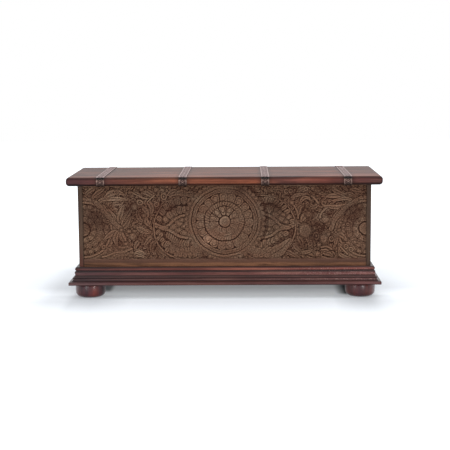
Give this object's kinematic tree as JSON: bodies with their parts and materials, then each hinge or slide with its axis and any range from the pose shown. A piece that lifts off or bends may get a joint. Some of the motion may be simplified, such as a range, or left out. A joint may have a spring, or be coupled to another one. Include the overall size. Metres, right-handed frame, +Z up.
{
  "type": "carved wooden chest",
  "caption": "Long low wooden storage chest with a hinged plank lid under metal straps, a carved front of rosettes and foliage, an ogee base and bun feet.",
  "frame": {"origin": "on the floor under the middle of the chest", "axes": "+X along the chest to the right as seen from the front, +Y from the carved front to the back, +Z up"},
  "size_m": [1.22, 0.4574, 0.4801],
  "materials": {
    "carved_wood": "carved hardwood with a grey-brown worn patina, dark in the cuts",
    "lid_wood": "red-brown stained hardwood, satin lacquer",
    "case_wood": "dark red-brown stained hardwood, satin lacquer",
    "moulding_wood": "dark red-brown stained hardwood, satin lacquer, rubbed along the edges",
    "foot_wood": "turned hardwood, dark red-brown gloss lacquer",
    "inner_wood": "unfinished planed hardwood",
    "strap_metal": "embossed sheet metal, dulled and dark in the hollows",
    "hinge_iron": "blackened iron",
    "screw_steel": "dull steel"
  },
  "bodies": {
    "case": {"back_board_lower": "case_wood", "back_board_upper": "case_wood", "base_moulding_back": "moulding_wood", "base_moulding_front": "moulding_wood", "base_moulding_left": "moulding_wood", "base_moulding_right": "moulding_wood", "bottom_board_1": "inner_wood", "bottom_board_2": "inner_wood", "bottom_board_3": "inner_wood", "bottom_board_4": "inner_wood", "bottom_board_5": "inner_wood", "bottom_cleat_back": "inner_wood", "bottom_cleat_front": "inner_wood", "bottom_cleat_left": "inner_wood", "bottom_cleat_right": "inner_wood", "corner_post_back_left": "inner_wood", "corner_post_back_right": "inner_wood", "corner_post_front_left": "inner_wood", "corner_post_front_right": "inner_wood", "end_board_left_lower": "case_wood", "end_board_left_upper": "case_wood", "end_board_right_lower": "case_wood", "end_board_right_upper": "case_wood", "foot_back_left": "foot_wood", "foot_back_right": "foot_wood", "foot_block_back_left": "inner_wood", "foot_block_back_right": "inner_wood", "foot_block_front_left": "inner_wood", "foot_block_front_right": "inner_wood", "foot_front_left": "foot_wood", "foot_front_right": "foot_wood", "front_panel": "carved_wood", "hinge_case_screws": "screw_steel", "hinge_centre_case_leaf": "hinge_iron", "hinge_centre_pin": "hinge_iron", "hinge_left_case_leaf": "hinge_iron", "hinge_left_pin": "hinge_iron", "hinge_right_case_leaf": "hinge_iron", "hinge_right_pin": "hinge_iron"},
    "lid": {"batten_screws": "screw_steel", "hinge_centre_lid_leaf": "hinge_iron", "hinge_left_lid_leaf": "hinge_iron", "hinge_lid_screws": "screw_steel", "hinge_right_lid_leaf": "hinge_iron", "lid_batten_centre": "inner_wood", "lid_batten_left": "inner_wood", "lid_batten_right": "inner_wood", "lid_board_front": "lid_wood", "lid_board_middle": "lid_wood", "lid_board_rear": "lid_wood", "lid_strap_inner_left": "strap_metal", "lid_strap_inner_right": "strap_metal", "lid_strap_outer_left": "strap_metal", "lid_strap_outer_right": "strap_metal", "strap_nails": "strap_metal"}
  },
  "joints": [
    {"name": "lid_hinge", "type": "hinge", "parent": "case", "child": "lid", "pos_m": [0, 0.1904, 0.4371], "axis": [-1, 0, 0], "range_deg": [0, 105]}
  ]
}
